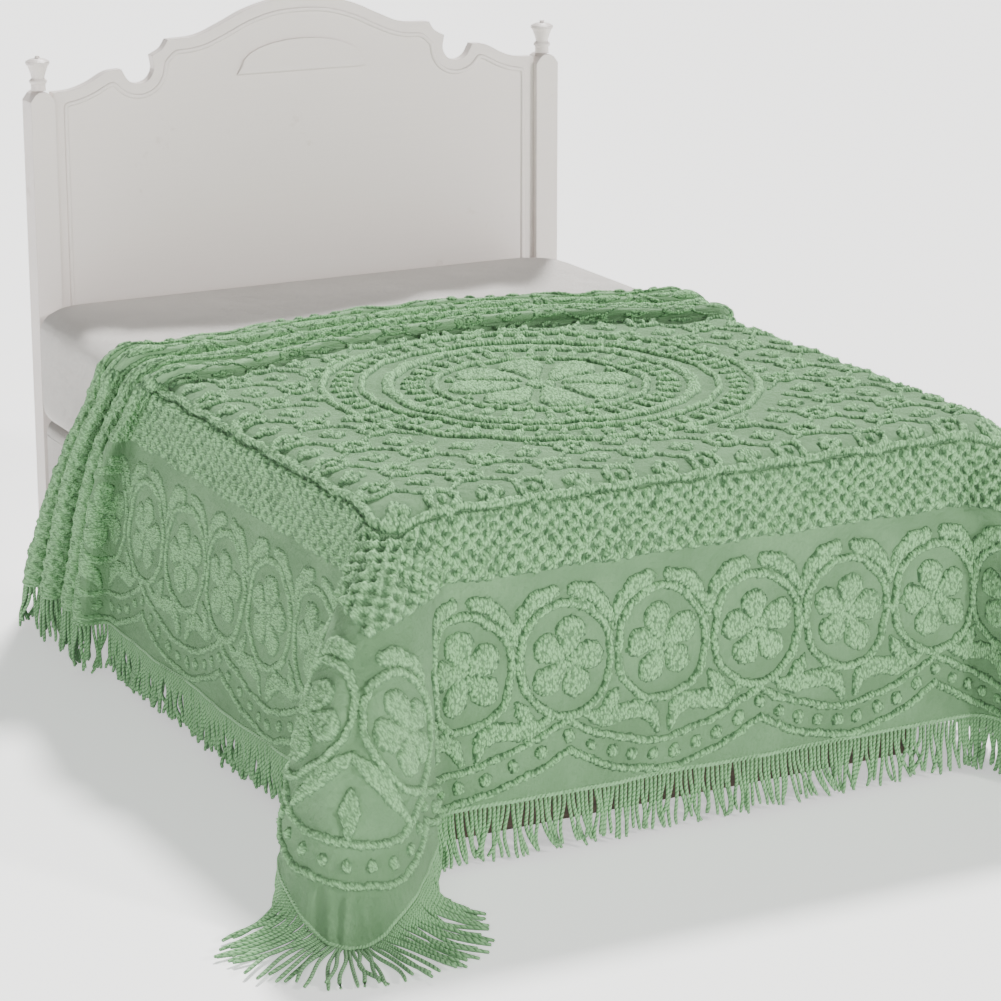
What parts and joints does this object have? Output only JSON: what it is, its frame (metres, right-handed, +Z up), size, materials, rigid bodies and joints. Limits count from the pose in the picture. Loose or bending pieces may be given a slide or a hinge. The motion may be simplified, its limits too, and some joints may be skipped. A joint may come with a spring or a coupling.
{
  "type": "chenille bedspread on a bed",
  "caption": "Tufted chenille bedspread with a medallion, border and fringe, lying on a plain double bed with a painted headboard and falling to the floor on its sides and foot.",
  "frame": {"origin": "on the floor below the middle of the mattress, in the underside of the bed base", "axes": "+Z up, +Y from the foot of the bed to its head, +X to the right when looking from the foot to the head"},
  "size_m": [2.1496, 2.3718, 1.366],
  "materials": {
    "chenille": "tufted cotton chenille, matt and fuzzy",
    "fringe_yarn": "twisted cotton yarn, matt",
    "mattress_cover": "plain cotton cover, matt",
    "foundation_cover": "plain cotton cover, matt",
    "base_wood": "stained wood, satin",
    "painted_wood": "white painted wood, worn satin"
  },
  "bodies": {
    "root": {"bedspread": "chenille", "fringe": "fringe_yarn", "mattress": "mattress_cover", "foundation": "foundation_cover", "bed_base": "base_wood", "headboard_panel": "painted_wood", "headboard_applique": "painted_wood", "post_left": "painted_wood", "post_right": "painted_wood", "finial_left": "painted_wood", "finial_right": "painted_wood"}
  },
  "joints": []
}
